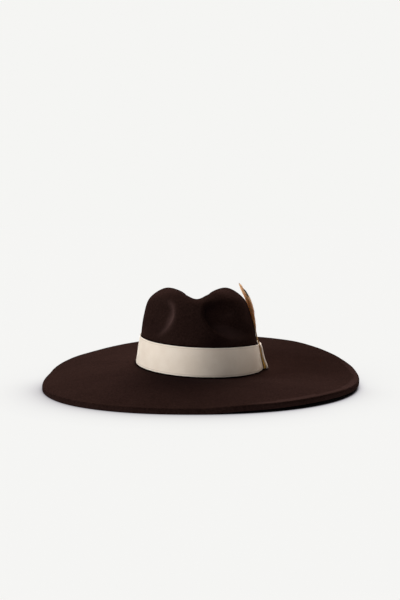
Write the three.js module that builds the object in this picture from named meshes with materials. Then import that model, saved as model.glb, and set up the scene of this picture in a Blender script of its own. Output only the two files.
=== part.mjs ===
import * as THREE from 'three';

// A wide-brimmed felt hat. Millimetres, +Z up, the wearer's front towards -Y and the wearer's left
// towards +X. The turned-down edge of the brim rests on z = 0. The forms are made round the crown's foot,
// then moved by FOOTPRINT_SHIFT so that the middle of the brim's footprint is at x = 0.

// Sizes of the felt
const FELT = 2.8;
const HEAD_WIDTH = 163.4;
const HEAD_LENGTH = 194.4;
const CROWN_HEIGHT = 105;
const CROWN_LEAN = 4.4;
const FLOOR_DEPTH = 29;
const FRONT_TURN = 4;
const BRIM_WIDTH = 420;
const BRIM_LENGTH = 429;
const BRIM_FULLNESS = 2.13;
const BRIM_DISH = 23;
const BRIM_SIDE_DROP = 4.5;
const BRIM_FRONT_DROP = 1.5;
const BRIM_SWELL = 3.5;
const BACK_LIFT = 28.7;
const EDGE_DROP = 6.8;
const EDGE_RADIUS = 3;
const FILLET = 3;
const FOOTPRINT_SHIFT = -1.7;

// Sizes of the two front pinches
const NOSE_WIDTH = 46;
const NOSE_OFFSET = 4.8;
const PINCH_DEPTH = 14;
const PINCH_WALL = 28;
const PINCH_RUN = 60;
const PINCH_AIM = 40;

// Sizes of the ribbon and its free end
const RIBBON_WIDTH = 37;
const RIBBON_THICK = 1.1;
const RIBBON_SEAT = 1.6;
const GAP = 0.35;
const HEM_THICK = 1.8;
const OVERLAP_START = 86;
const OVERLAP_SPAN = 42;
const OVERLAP_SAG = 2.6;
const OVERLAP_DROP = 1.2;

// Sizes of the feather
const FEATHER_LENGTH = 117;
const FEATHER_WIDTH = 26;
const FEATHER_TURN = 86.4;
const FEATHER_THICK = 1;
const QUILL_WIDTH = 2.9;
const QUILL_TIP_WIDTH = 1.2;
const QUILL_SEAT = 3.5;
const FEATHER_LEAVE = 0.46;
const FEATHER_LAG = 2.4;

const COLUMNS = 72;

// Crown sections by turn from the front. The out columns are shares of the crown's foot radius, the up
// columns shares of the crown's height, and dent how full the top's dent is between its floor and the ridge.
// The left and right halves are alike before the lean and the turn of the front.
const SECTIONS = [
  { turn: 0, bandOut: 0.935, bandUp: 0.345, waistOut: 0.86, waistUp: 0.66, shoulderOut: 0.745, shoulderUp: 0.85,
    ridgeOut: 0.625, ridgeUp: 0.892, dent: 0.5 },
  { turn: 15, bandOut: 0.932, bandUp: 0.345, waistOut: 0.865, waistUp: 0.65, shoulderOut: 0.735, shoulderUp: 0.864,
    ridgeOut: 0.577, ridgeUp: 0.936, dent: 0.52 },
  { turn: 30, bandOut: 0.932, bandUp: 0.345, waistOut: 0.87, waistUp: 0.64, shoulderOut: 0.72, shoulderUp: 0.88,
    ridgeOut: 0.53, ridgeUp: 0.971, dent: 0.66 },
  { turn: 60, bandOut: 0.929, bandUp: 0.345, waistOut: 0.868, waistUp: 0.63, shoulderOut: 0.742, shoulderUp: 0.882,
    ridgeOut: 0.458, ridgeUp: 0.974, dent: 0.77 },
  { turn: 90, bandOut: 0.922, bandUp: 0.345, waistOut: 0.856, waistUp: 0.62, shoulderOut: 0.754, shoulderUp: 0.847,
    ridgeOut: 0.457, ridgeUp: 0.992, dent: 0.77 },
  { turn: 135, bandOut: 0.94, bandUp: 0.345, waistOut: 0.88, waistUp: 0.58, shoulderOut: 0.74, shoulderUp: 0.8,
    ridgeOut: 0.52, ridgeUp: 0.9, dent: 0.64 },
  { turn: 180, bandOut: 0.953, bandUp: 0.345, waistOut: 0.9, waistUp: 0.52, shoulderOut: 0.77, shoulderUp: 0.7,
    ridgeOut: 0.6, ridgeUp: 0.765, dent: 0.5 },
];

// The brim's edge by turn, growing towards +X: its height over the table as shares of BACK_LIFT, and its
// reach as shares of the plain oval of BRIM_WIDTH and BRIM_LENGTH.
const RIM = [
  { turn: -180, lift: 1, out: 1.002 },
  { turn: -148, lift: 0.76, out: 1.004 },
  { turn: -130, lift: 0.531, out: 1.005 },
  { turn: -111, lift: 0.33, out: 1.002 },
  { turn: -98, lift: 0.165, out: 0.996 },
  { turn: -90, lift: 0.049, out: 0.991 },
  { turn: -75, lift: 0, out: 0.99 },
  { turn: -60, lift: 0, out: 1.004 },
  { turn: -40, lift: 0, out: 1.023 },
  { turn: -20, lift: 0, out: 1.016 },
  { turn: 4, lift: 0, out: 0.995 },
  { turn: 18, lift: 0.092, out: 0.99 },
  { turn: 30, lift: 0.127, out: 0.992 },
  { turn: 45, lift: 0.173, out: 0.997 },
  { turn: 60, lift: 0.172, out: 1.003 },
  { turn: 75, lift: 0.16, out: 1.007 },
  { turn: 85, lift: 0.199, out: 1.008 },
  { turn: 97, lift: 0.287, out: 1.008 },
  { turn: 111, lift: 0.438, out: 1.007 },
  { turn: 130, lift: 0.769, out: 1.005 },
  { turn: 148, lift: 0.982, out: 1.004 },
];

// Half widths of the nose to the middle of each pinch's wall, as shares of NOSE_WIDTH, by share of the
// crown's height.
const NOSE = [
  { up: 0.25, half: 1.43 },
  { up: 0.36, half: 1.24 },
  { up: 0.44, half: 1.02 },
  { up: 0.5, half: 0.83 },
  { up: 0.59, half: 0.64 },
  { up: 0.68, half: 0.535 },
  { up: 0.77, half: 0.5 },
  { up: 0.85, half: 0.49 },
  { up: 1.1, half: 0.49 },
];

// The two pinches: where each starts, is deepest and ends, as shares of the crown's height.
const PINCHES = [
  { side: -1, low: 0.36, mid: 0.68, high: 0.93, depth: 1 },
  { side: 1, low: 0.36, mid: 0.68, high: 0.93, depth: 1 },
];

// The feather by shares of its length. The widths are shares of FEATHER_WIDTH. Flare turns its front edge
// outward. Above FEATHER_LEAVE it leaves the crown: bend leans it inward and swing backward, in degrees.
const FEATHER = [
  { along: 0, front: 0, back: 0, flare: 0, bend: 0, swing: 0 },
  { along: 0.3, front: 0, back: 0, flare: 0, bend: 0, swing: 0 },
  { along: 0.4, front: 0.03, back: 0.03, flare: 4, bend: 0, swing: 0 },
  { along: 0.47, front: 0.2, back: 0.13, flare: 10, bend: -1, swing: 4 },
  { along: 0.54, front: 0.3, back: 0.26, flare: 14, bend: -1.5, swing: 8 },
  { along: 0.58, front: 0.27, back: 0.34, flare: 16, bend: -0.5, swing: 10 },
  { along: 0.62, front: 0.4, back: 0.4, flare: 17, bend: 1.5, swing: 13 },
  { along: 0.72, front: 0.46, back: 0.5, flare: 17, bend: 7, swing: 17 },
  { along: 0.79, front: 0.44, back: 0.5, flare: 16, bend: 11.5, swing: 20 },
  { along: 0.82, front: 0.36, back: 0.46, flare: 16, bend: 13.5, swing: 21 },
  { along: 0.86, front: 0.35, back: 0.4, flare: 15, bend: 17, swing: 22 },
  { along: 0.93, front: 0.22, back: 0.26, flare: 13, bend: 21.5, swing: 24 },
  { along: 1, front: 0.03, back: 0.04, flare: 10, bend: 26, swing: 25 },
];

const RAD = Math.PI / 180;
const FOOT_HALF_WIDTH = HEAD_WIDTH / 2 + FELT;
const FOOT_HALF_LENGTH = HEAD_LENGTH / 2 + FELT;

// Smooth curve through the rows of a table, read at one value of its key column.
function read(rows, key, column, at) {
  let i = 0;
  while (i < rows.length - 2 && rows[i + 1][key] <= at) i += 1;
  const before = rows[Math.max(i - 1, 0)];
  const a = rows[i];
  const b = rows[i + 1];
  const after = rows[Math.min(i + 2, rows.length - 1)];
  const span = b[key] - a[key];
  const t = Math.min(Math.max((at - a[key]) / span, 0), 1);
  const slopeA = (b[column] - before[column]) / (b[key] - before[key]);
  const slopeB = (after[column] - a[column]) / (after[key] - a[key]);
  const t2 = t * t;
  const t3 = t2 * t;
  return (2 * t3 - 3 * t2 + 1) * a[column] + (t3 - 2 * t2 + t) * span * slopeA
    + (3 * t2 - 2 * t3) * b[column] + (t3 - t2) * span * slopeB;
}

// A table that closes on itself after 360 degrees, or mirrors at the front and the back.
function around(rows) {
  const last = rows[rows.length - 1];
  const next = { ...rows[0], turn: rows[0].turn + 360 };
  const second = { ...rows[1], turn: rows[1].turn + 360 };
  return [{ ...last, turn: last.turn - 360 }, ...rows, next, second];
}

function mirrored(rows) {
  const first = { ...rows[1], turn: -rows[1].turn };
  const last = { ...rows[rows.length - 2], turn: 360 - rows[rows.length - 2].turn };
  return [first, ...rows, last];
}

const SECTIONS_ROUND = mirrored(SECTIONS);
const RIM_ROUND = around(RIM);

function wrapped(turn) {
  return ((turn + 180) % 360 + 360) % 360 - 180;
}

function smooth(x) {
  const t = Math.min(Math.max(x, 0), 1);
  return t * t * t * (t * (6 * t - 15) + 10);
}

function oval(turn, halfWidth, halfLength, fullness) {
  const s = Math.abs(Math.sin(turn * RAD)) / halfWidth;
  const c = Math.abs(Math.cos(turn * RAD)) / halfLength;
  return (s ** fullness + c ** fullness) ** (-1 / fullness);
}

function place(turn, out, z) {
  return new THREE.Vector3(out * Math.sin(turn * RAD), -out * Math.cos(turn * RAD), z);
}

function footHeight(turn) {
  return BRIM_DISH - BRIM_SIDE_DROP * Math.sin(turn * RAD) - BRIM_FRONT_DROP * Math.cos(turn * RAD);
}

function rimLift(turn) {
  return Math.max(read(RIM_ROUND, 'turn', 'lift', wrapped(turn)), 0) * BACK_LIFT;
}

function rimReach(turn) {
  const plain = oval(turn, BRIM_WIDTH / 2, BRIM_LENGTH / 2, BRIM_FULLNESS);
  return plain * read(RIM_ROUND, 'turn', 'out', wrapped(turn));
}

// One crown section as a chain of (out, z) knots from the foot to the centre of the top.
function knots(turn) {
  const at = Math.abs(wrapped(turn) - (FRONT_TURN * (1 + Math.cos(turn * RAD))) / 2);
  const share = (column) => read(SECTIONS_ROUND, 'turn', column, at);
  const foot = oval(turn, FOOT_HALF_WIDTH, FOOT_HALF_LENGTH, 2);
  const base = footHeight(turn);
  const rise = BRIM_DISH + CROWN_HEIGHT - base;
  const floorUp = 1 - FLOOR_DEPTH / CROWN_HEIGHT;
  const ridgeOut = share('ridgeOut');
  const ridgeUp = share('ridgeUp');
  return [
    [1, 0],
    [share('bandOut'), share('bandUp')],
    [share('waistOut'), share('waistUp')],
    [share('shoulderOut'), share('shoulderUp')],
    [ridgeOut, ridgeUp],
    [ridgeOut / 2, floorUp + (ridgeUp - floorUp) * share('dent')],
    [0, floorUp],
  ].map(([out, up]) => new THREE.Vector2(out * foot, base + up * rise));
}

// Points along the smooth curve through the knots, with so many steps between each pair.
function profile(turn, steps) {
  const chain = knots(turn);
  const n = chain.length;
  const start = chain[0].clone().multiplyScalar(2).sub(chain[1]);
  const end = new THREE.Vector2(-chain[n - 2].x, chain[n - 2].y);
  const all = [start, ...chain, end];
  const points = [];
  for (let k = 1; k < n; k += 1) {
    const [p0, p1, p2, p3] = [all[k - 1], all[k], all[k + 1], all[k + 2]];
    const d1 = p0.distanceTo(p1);
    const d2 = p1.distanceTo(p2);
    const d3 = p2.distanceTo(p3);
    const tangent = (a, b, c, da, db) => b.clone().sub(a).multiplyScalar(db / da)
      .add(c.clone().sub(b).multiplyScalar(da / db)).multiplyScalar(1 / (da + db));
    const m1 = tangent(p0, p1, p2, d1, d2);
    const m2 = tangent(p1, p2, p3, d2, d3);
    for (let j = 0; j < steps[k - 1]; j += 1) {
      const t = j / steps[k - 1];
      const t2 = t * t;
      const t3 = t2 * t;
      points.push(p1.clone().multiplyScalar(2 * t3 - 3 * t2 + 1)
        .addScaledVector(m1, (t3 - 2 * t2 + t) * d2)
        .addScaledVector(p2, 3 * t2 - 2 * t3)
        .addScaledVector(m2, (t3 - t2) * d2));
    }
  }
  points.push(chain[n - 1].clone());
  return points;
}

// The front pinches push the wall in beside the nose, and the whole crown leans a little.
function pressed(point) {
  const up = (point.z - BRIM_DISH) / CROWN_HEIGHT;
  const half = read(NOSE, 'up', 'half', Math.min(Math.max(up, 0.26), 1.09)) * NOSE_WIDTH;
  const moved = point.clone();
  for (const pinch of PINCHES) {
    const inside = pinch.side * (point.x + NOSE_OFFSET) - half + 0.5 * PINCH_WALL;
    const past = inside + 2 * Math.max(point.y + HEAD_LENGTH / 10, 0);
    const near = smooth(past / PINCH_WALL);
    const far = 1 - smooth((past - 0.8 * PINCH_WALL) / (PINCH_RUN - 0.8 * PINCH_WALL));
    const rise = smooth((up - pinch.low) / (pinch.mid - pinch.low));
    const fall = 1 - smooth((up - pinch.mid) / (pinch.high - pinch.mid));
    const front = smooth(-point.y / (0.18 * HEAD_LENGTH));
    const depth = PINCH_DEPTH * pinch.depth * near * far * rise * fall * front;
    const aim = PINCH_AIM * pinch.side * RAD;
    moved.x -= depth * Math.sin(aim);
    moved.y += depth * Math.cos(aim);
  }
  moved.x -= CROWN_LEAN * Math.min(Math.max(up, 0), 1);
  return moved;
}

function crownColumn(turn, steps) {
  return profile(turn, steps).map((p) => pressed(place(turn, p.x, p.y)));
}

// The top of the brim from the crown's foot to the turned-down edge.
function brimColumn(turn, steps) {
  const foot = oval(turn, FOOT_HALF_WIDTH, FOOT_HALF_LENGTH, 2);
  const edge = rimReach(turn);
  const base = footHeight(turn);
  const crest = rimLift(turn) + EDGE_DROP;
  const swell = BRIM_SWELL * Math.min(Math.max((base - crest) / BRIM_DISH, -0.3), 1);
  const at = (s) => {
    const out = foot + (edge - EDGE_RADIUS - foot) * s;
    const z = base + (crest - base) * s ** 1.25 + swell * Math.sin(Math.PI * s);
    return place(turn, out, z);
  };
  const points = [];
  for (let i = 0; i <= steps; i += 1) points.push(at(i / steps));
  const curl = [30, 60, 90];
  for (const angle of curl) {
    const out = edge - EDGE_RADIUS + EDGE_RADIUS * Math.sin(angle * RAD);
    const z = crest - EDGE_RADIUS + EDGE_RADIUS * Math.cos(angle * RAD);
    points.push(place(turn, out, z));
  }
  points.push(place(turn, edge, crest - EDGE_DROP));
  return points;
}

// One whole column of the felt's outside, from the row next to the crown's centre to the cut edge.
function feltColumn(turn) {
  const wall = crownColumn(turn, [4, 4, 4, 4, 2, 2]).reverse();
  const brim = brimColumn(turn, 7);
  const corner = wall[wall.length - 1];
  const above = wall[wall.length - 2];
  const beyond = brim[1];
  const up = corner.clone().addScaledVector(above.clone().sub(corner).normalize(), FILLET);
  const out = corner.clone().addScaledVector(beyond.clone().sub(corner).normalize(), FILLET);
  const bend = [0, 0.33, 0.67, 1].map((t) => up.clone().multiplyScalar((1 - t) ** 2)
    .addScaledVector(corner, 2 * t * (1 - t)).addScaledVector(out, t * t));
  return [...wall.slice(1, -1), ...bend, ...brim.slice(1)];
}

// Normals of a closed grid of rows and columns, pointing to the side that is outside the hat.
function gridNormals(columns, top) {
  const rows = columns[0].length;
  return columns.map((column, c) => {
    const left = columns[(c + columns.length - 1) % columns.length];
    const right = columns[(c + 1) % columns.length];
    return column.map((point, r) => {
      const down = r < rows - 1 ? column[r + 1] : point;
      const up = r > 0 ? column[r - 1] : top;
      const along = down.clone().sub(up);
      const across = right[r].clone().sub(left[r]);
      const normal = along.cross(across).normalize();
      if (r === rows - 1) normal.setZ(0).normalize();
      return normal;
    });
  });
}

function geometry(vertices, faces) {
  const flat = vertices.flatMap((v) => [v.x + FOOTPRINT_SHIFT, v.y, v.z]);
  const made = new THREE.BufferGeometry();
  made.setAttribute('position', new THREE.Float32BufferAttribute(flat, 3));
  made.setIndex(faces);
  made.computeVertexNormals();
  return made;
}

// A closed body between an outer and an inner grid that each start at a pole and meet at the cut edge.
function shell(outer, outerTop, inner, innerTop) {
  const count = outer.length;
  const rows = outer[0].length;
  const vertices = [outerTop, innerTop];
  const faces = [];
  const index = (side, c, r) => 2 + side * count * rows + (c % count) * rows + r;
  for (const side of [outer, inner]) {
    for (const column of side) vertices.push(...column);
  }
  for (let c = 0; c < count; c += 1) {
    faces.push(0, index(0, c, 0), index(0, c + 1, 0));
    faces.push(1, index(1, c + 1, 0), index(1, c, 0));
    for (let r = 0; r < rows - 1; r += 1) {
      for (const side of [0, 1]) {
        const a = index(side, c, r);
        const b = index(side, c, r + 1);
        const d = index(side, c + 1, r + 1);
        const e = index(side, c + 1, r);
        const cut = 2 * c < count ? [[a, b, d], [a, d, e]] : [[a, b, e], [e, b, d]];
        for (const [p, q, s] of cut) faces.push(...(side === 0 ? [p, q, s] : [p, s, q]));
      }
    }
    const last = rows - 1;
    faces.push(index(0, c, last), index(1, c, last), index(0, c + 1, last));
    faces.push(index(0, c + 1, last), index(1, c, last), index(1, c + 1, last));
  }
  return geometry(vertices, faces);
}

// A closed body through sections, each a closed loop of points. A ring closes on itself, a bar has ends.
function loft(sections, ring) {
  const size = sections[0].length;
  const vertices = sections.flat();
  const faces = [];
  const spans = ring ? sections.length : sections.length - 1;
  for (let s = 0; s < spans; s += 1) {
    const a = s * size;
    const b = ((s + 1) % sections.length) * size;
    for (let k = 0; k < size; k += 1) {
      const n = (k + 1) % size;
      faces.push(a + k, b + k, a + n);
      faces.push(a + n, b + k, b + n);
    }
  }
  if (!ring) {
    const end = (sections.length - 1) * size;
    for (let k = 0; k < size / 2 - 1; k += 1) {
      const m = size - 1 - k;
      faces.push(k, k + 1, m);
      faces.push(m, k + 1, m - 1);
      faces.push(end + k, end + m, end + k + 1);
      faces.push(end + m, end + m - 1, end + k + 1);
    }
  }
  return geometry(vertices, faces);
}

// A point on the crown's outside at a distance along the wall from its foot, with the outward normal.
function onCrown(turn, distance) {
  const steps = [8, 8, 8, 8, 4, 4];
  const wall = crownColumn(turn, steps);
  const side = crownColumn(turn + 1, steps);
  const walk = (line) => {
    let left = distance;
    let i = 0;
    while (i < line.length - 2 && left > line[i].distanceTo(line[i + 1])) {
      left -= line[i].distanceTo(line[i + 1]);
      i += 1;
    }
    const way = line[i + 1].clone().sub(line[i]).normalize();
    return { point: line[i].clone().addScaledVector(way, left), way };
  };
  const here = walk(wall);
  const there = walk(side);
  const across = there.point.clone().sub(here.point).normalize();
  const normal = across.clone().cross(here.way).normalize();
  return { point: here.point, way: here.way, across, normal };
}

// The felt body
const turns = Array.from({ length: COLUMNS }, (_, c) => (c * 360) / COLUMNS);
const outside = turns.map(feltColumn);
const topWall = crownColumn(0, [1, 1, 1, 1, 1, 1]);
const outsideTop = topWall[topWall.length - 1];
const normals = gridNormals(outside, outsideTop);
const inside = outside.map((column, c) => column.map((p, r) => p.clone().addScaledVector(normals[c][r], -FELT)));
const insideTop = outsideTop.clone().add(new THREE.Vector3(0, 0, -FELT));
const feltGeometry = shell(outside, outsideTop, inside, insideTop);

// The ribbon, a ring of loops round the crown's foot
function ribbonLoop(turn, liftAt, thick, low, high, shares) {
  const inner = [];
  const outer = [];
  for (const share of shares) {
    const distance = low + (high - low) * share;
    const at = onCrown(turn, distance);
    inner.push(at.point.clone().addScaledVector(at.normal, liftAt(distance)));
    outer.push(at.point.clone().addScaledVector(at.normal, liftAt(distance) + thick));
  }
  return [...outer, ...inner.reverse()];
}
const WEAVE_ROWS = [0, 0.33, 0.67, 1];
const ribbonTop = RIBBON_SEAT + RIBBON_WIDTH;
const ringLift = () => 2 * GAP;
const ribbonLoops = turns.map((turn) => ribbonLoop(turn, ringLift, RIBBON_THICK, RIBBON_SEAT, ribbonTop, WEAVE_ROWS));
const bandGeometry = loft(ribbonLoops, true);

// The free end is hemmed. Its front edge stands off the ring by the quill's width and hangs a little lower,
// and behind the quill it lies on the ring
const ribbonOutside = 2 * GAP + RIBBON_THICK;
const OVERLAP_STEPS = 12;
function shaftRadius(along) {
  return (QUILL_TIP_WIDTH + (QUILL_WIDTH - QUILL_TIP_WIDTH) * (1 - smooth(along / 0.3))) / 2;
}
const overlapLoops = Array.from({ length: OVERLAP_STEPS + 1 }, (_, i) => {
  const share = i / OVERLAP_STEPS;
  const turn = OVERLAP_START + OVERLAP_SPAN * share;
  const open = 1 - smooth((share - 0.2) / 0.35);
  const liftAt = (distance) => {
    const along = Math.max(distance - RIBBON_SEAT - QUILL_SEAT, 0) / FEATHER_LENGTH;
    return ribbonOutside + GAP + (2 * shaftRadius(along) + GAP) * open;
  };
  const low = RIBBON_SEAT + GAP - OVERLAP_SAG * open;
  return ribbonLoop(turn, liftAt, HEM_THICK, low, ribbonTop - OVERLAP_DROP, WEAVE_ROWS);
});
const overlapGeometry = loft(overlapLoops, false);

// The feather's shaft follows the crown's side up to FEATHER_LEAVE and goes on by itself from there
const FEATHER_STEPS = 26;
function shaftOnCrown(along) {
  const distance = QUILL_SEAT + RIBBON_SEAT + FEATHER_LENGTH * along;
  const at = onCrown(FEATHER_TURN + (FEATHER_LAG * along) / FEATHER_LEAVE, distance);
  const over = ribbonOutside * (1 - smooth((distance - ribbonTop - QUILL_TIP_WIDTH) / (0.4 * RIBBON_WIDTH)));
  const vane = FEATHER_THICK * smooth((distance - ribbonTop) / (0.4 * RIBBON_WIDTH));
  const centre = at.point.clone().addScaledVector(at.normal, over + GAP + vane + shaftRadius(along));
  return { centre, way: at.way, across: at.across, normal: at.normal };
}
const leave = shaftOnCrown(FEATHER_LEAVE);
function shaftFree(along) {
  const steps = 12;
  const piece = (along - FEATHER_LEAVE) / steps;
  const centre = leave.centre.clone();
  const way = new THREE.Vector3();
  for (let i = 0; i <= steps; i += 1) {
    const at = FEATHER_LEAVE + piece * (i + 0.5);
    const bend = read(FEATHER, 'along', 'bend', i < steps ? at : along) * RAD;
    const swing = read(FEATHER, 'along', 'swing', i < steps ? at : along) * RAD;
    way.copy(leave.way).multiplyScalar(Math.cos(bend) * Math.cos(swing))
      .addScaledVector(leave.normal, -Math.sin(bend) * Math.cos(swing))
      .addScaledVector(leave.across, Math.sin(swing));
    if (i < steps) centre.addScaledVector(way, piece * FEATHER_LENGTH);
  }
  const normal = leave.across.clone().cross(way).normalize();
  const across = way.clone().cross(normal).normalize();
  return { centre, way, across, normal };
}
const featherLoops = Array.from({ length: FEATHER_STEPS + 1 }, (_, i) => {
  const along = i / FEATHER_STEPS;
  const column = (name) => Math.max(read(FEATHER, 'along', name, along), 0);
  const { centre, way, across, normal } = along < FEATHER_LEAVE ? shaftOnCrown(along) : shaftFree(along);
  const root = smooth(along / 0.05);
  const radius = shaftRadius(along) * (0.45 + 0.55 * root) * (1 - 0.5 * smooth((along - 0.5) / 0.5));
  const flare = column('flare') * RAD;
  const wide = across.clone().multiplyScalar(Math.cos(flare)).addScaledVector(normal, -Math.sin(flare));
  const thick = wide.clone().cross(way).normalize();
  const front = column('front') * FEATHER_WIDTH + radius;
  const back = column('back') * FEATHER_WIDTH + radius;
  const vane = FEATHER_THICK / 2;
  const point = (w, t) => centre.clone().addScaledVector(wide, w).addScaledVector(thick, t);
  const edge = Math.min(vane * 0.8, radius * 0.8);
  const body = Math.min(vane, radius * 0.95);
  return [
    point(-front, edge),
    point(-(front + radius) / 2, body),
    point(-radius * 0.5, radius),
    point(radius * 0.5, radius),
    point((back + radius) / 2, body),
    point(back, edge),
    point(back, -edge),
    point((back + radius) / 2, -body),
    point(radius * 0.5, -radius),
    point(-radius * 0.5, -radius),
    point(-(front + radius) / 2, -body),
    point(-front, -edge),
  ];
});
const featherGeometry = loft(featherLoops.map((section) => section.reverse()), false);

function piece(name, shape, color, roughness) {
  const mesh = new THREE.Mesh(shape, new THREE.MeshStandardMaterial({ color, roughness, metalness: 0 }));
  mesh.name = name;
  return mesh;
}

const hat = new THREE.Group();
hat.add(piece('felt_body', feltGeometry, 0x3a2822, 0.95));
hat.add(piece('hat_band', bandGeometry, 0xded0bf, 0.75));
hat.add(piece('band_overlap', overlapGeometry, 0xe4d7c6, 0.75));
hat.add(piece('feather', featherGeometry, 0xb98a5e, 0.6));

export default hat;
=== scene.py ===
import math

import bpy
import numpy as np
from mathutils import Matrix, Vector, noise


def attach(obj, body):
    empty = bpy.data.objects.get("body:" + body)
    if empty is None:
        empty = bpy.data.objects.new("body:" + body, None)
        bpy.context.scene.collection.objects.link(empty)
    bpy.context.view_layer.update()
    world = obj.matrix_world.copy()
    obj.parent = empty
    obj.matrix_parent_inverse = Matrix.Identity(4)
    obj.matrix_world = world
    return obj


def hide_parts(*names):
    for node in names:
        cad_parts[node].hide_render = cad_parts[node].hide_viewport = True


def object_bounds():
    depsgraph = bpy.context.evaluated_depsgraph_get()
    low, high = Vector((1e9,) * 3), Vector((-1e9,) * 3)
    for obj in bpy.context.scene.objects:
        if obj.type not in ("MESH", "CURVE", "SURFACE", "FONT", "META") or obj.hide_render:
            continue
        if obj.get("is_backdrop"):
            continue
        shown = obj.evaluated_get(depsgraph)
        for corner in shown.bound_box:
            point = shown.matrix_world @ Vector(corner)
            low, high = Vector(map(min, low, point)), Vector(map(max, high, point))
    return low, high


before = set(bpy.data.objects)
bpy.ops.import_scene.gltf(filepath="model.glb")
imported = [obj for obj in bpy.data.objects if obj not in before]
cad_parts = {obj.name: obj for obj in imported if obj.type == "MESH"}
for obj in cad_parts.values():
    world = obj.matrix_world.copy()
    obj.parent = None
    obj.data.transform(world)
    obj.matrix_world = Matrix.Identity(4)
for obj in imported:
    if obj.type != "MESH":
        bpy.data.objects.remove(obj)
cad_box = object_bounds()

# Sizes in millimetres and turns in degrees, the same as the solids'
FELT = 2.8
FOOT_HALF_WIDTH = 163.4 / 2 + FELT
FOOT_HALF_LENGTH = 194.4 / 2 + FELT
HEAD_LENGTH = 194.4
CROWN_HEIGHT = 105.0
CROWN_LEAN = 4.4
FLOOR_DEPTH = 29.0
FRONT_TURN = 4.0
BRIM_WIDTH = 420.0
BRIM_LENGTH = 429.0
BRIM_FULLNESS = 2.13
BRIM_DISH = 23.0
BRIM_SIDE_DROP = 4.5
BRIM_FRONT_DROP = 1.5
BRIM_SWELL = 3.5
BACK_LIFT = 28.7
EDGE_DROP = 6.8
EDGE_RADIUS = 3.0
FILLET = 3.0
FOOTPRINT_SHIFT = -1.7
NOSE_WIDTH = 46.0
NOSE_OFFSET = 4.8
PINCH_DEPTH = 14.0
PINCH_WALL = 28.0
PINCH_RUN = 60.0
PINCH_AIM = 40.0
PINCH_LOW = 0.36
PINCH_MID = 0.68
PINCH_HIGH = 0.93
RIBBON_WIDTH = 37.0
RIBBON_SEAT = 1.6
GAP = 0.35
OVERLAP_START = 86.0
OVERLAP_SPAN = 42.0
OVERLAP_RADIUS = 86.0
OVERLAP_SAG = 2.6
FEATHER_LENGTH = 117.0
FEATHER_WIDTH = 26.0
FEATHER_TURN = 86.4
FEATHER_LAG = 2.4
FEATHER_LEAVE = 0.46
QUILL_SEAT = 3.5
MM = 0.001

# Sizes in millimetres that only this model has. The ribbon's top edge is lowest at TOP_LOW_TURN degrees
VISUAL_WIDTH = 36.2
TOP_DROP = 4.2
TOP_LOW_TURN = 98.0
TOP_LOW_SPREAD = 34.0
SHEET = 0.72
SELVEDGE_ROUND = 0.2
FOLD = 0.6
OVER_RING = 1.45
EDGE_BEVEL = 0.25
NOSE_SIDE = -8.0
BARB_WIDTH = 0.78
BARB_CURL = 0.35
SHORTEST_BARB = 0.35
SHORTEST_FOOT_BARB = 2.2
DOWN_WIDTH = 0.24
DOWN_CURL = 0.6
SMALLEST_RING = 5.0
FLOOR_SINK = 0.2

# Places along the feather as shares of its length, and the web's share of the vane's width
SHAFT_START = -0.04
SHAFT_ROUND = 0.012
WEB_START = 0.4
WEB_SPAN = 0.585
WEB_REACH = 0.97
BARB_START = 0.375
BARB_SPAN = 0.6
SPLIT_WIDTH = 0.012
SPLITS = {"front": (0.585, 0.825), "back": (0.47, 0.66)}

# Counts of steps and columns in the meshes
WALL_STEPS = (40, 30, 24, 20, 8, 6)
TAB_WALL_STEPS = (20, 12, 4, 4, 2, 2)
BAND_COLUMNS = 540
BAND_STEPS = 26
TAB_STEPS = 22
SHAFT_STEPS = 160
SIDES = 12
WEB_ROWS = 150
WEB_COLUMNS = 6
BARBS = 230
BARB_STEPS = 9
DOWN_TUFTS = 54
FLOOR_COLUMNS = 240

BLACK = (0.0, 0.0, 0.0)
WHITE = (1.0, 1.0, 1.0)

# Crown sections by turn from the front: out as shares of the foot's radius, up as shares of the height
SECTIONS = {
    "turn": (0, 15, 30, 60, 90, 135, 180),
    "band_out": (0.935, 0.932, 0.932, 0.929, 0.922, 0.94, 0.953),
    "band_up": (0.345, 0.345, 0.345, 0.345, 0.345, 0.345, 0.345),
    "waist_out": (0.86, 0.865, 0.87, 0.868, 0.856, 0.88, 0.9),
    "waist_up": (0.66, 0.65, 0.64, 0.63, 0.62, 0.58, 0.52),
    "shoulder_out": (0.745, 0.735, 0.72, 0.742, 0.754, 0.74, 0.77),
    "shoulder_up": (0.85, 0.864, 0.88, 0.882, 0.847, 0.8, 0.7),
    "ridge_out": (0.625, 0.577, 0.53, 0.458, 0.457, 0.52, 0.6),
    "ridge_up": (0.892, 0.936, 0.971, 0.974, 0.992, 0.9, 0.765),
    "dent": (0.5, 0.52, 0.66, 0.77, 0.77, 0.64, 0.5),
}

# The rim by turn: lift off the table as a share of the back's, and out as a share of the oval's reach
RIM = {
    "turn": (
        -180, -148, -130, -111, -98, -90, -75, -60, -40, -20, 4,
        18, 30, 45, 60, 75, 85, 97, 111, 130, 148,
    ),
    "lift": (
        1, 0.76, 0.531, 0.33, 0.165, 0.049, 0, 0, 0, 0, 0,
        0.092, 0.127, 0.173, 0.172, 0.16, 0.199, 0.287, 0.438, 0.769, 0.982,
    ),
    "out": (
        1.002, 1.004, 1.005, 1.002, 0.996, 0.991, 0.99, 1.004, 1.023, 1.016, 0.995,
        0.99, 0.992, 0.997, 1.003, 1.007, 1.008, 1.008, 1.007, 1.005, 1.004,
    ),
}

# Half the width of the nose between the pinches, by height
NOSE = {
    "up": (0.25, 0.36, 0.44, 0.5, 0.59, 0.68, 0.77, 0.85, 1.1),
    "half": (1.43, 1.24, 1.02, 0.83, 0.64, 0.535, 0.5, 0.49, 0.49),
}

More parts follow.
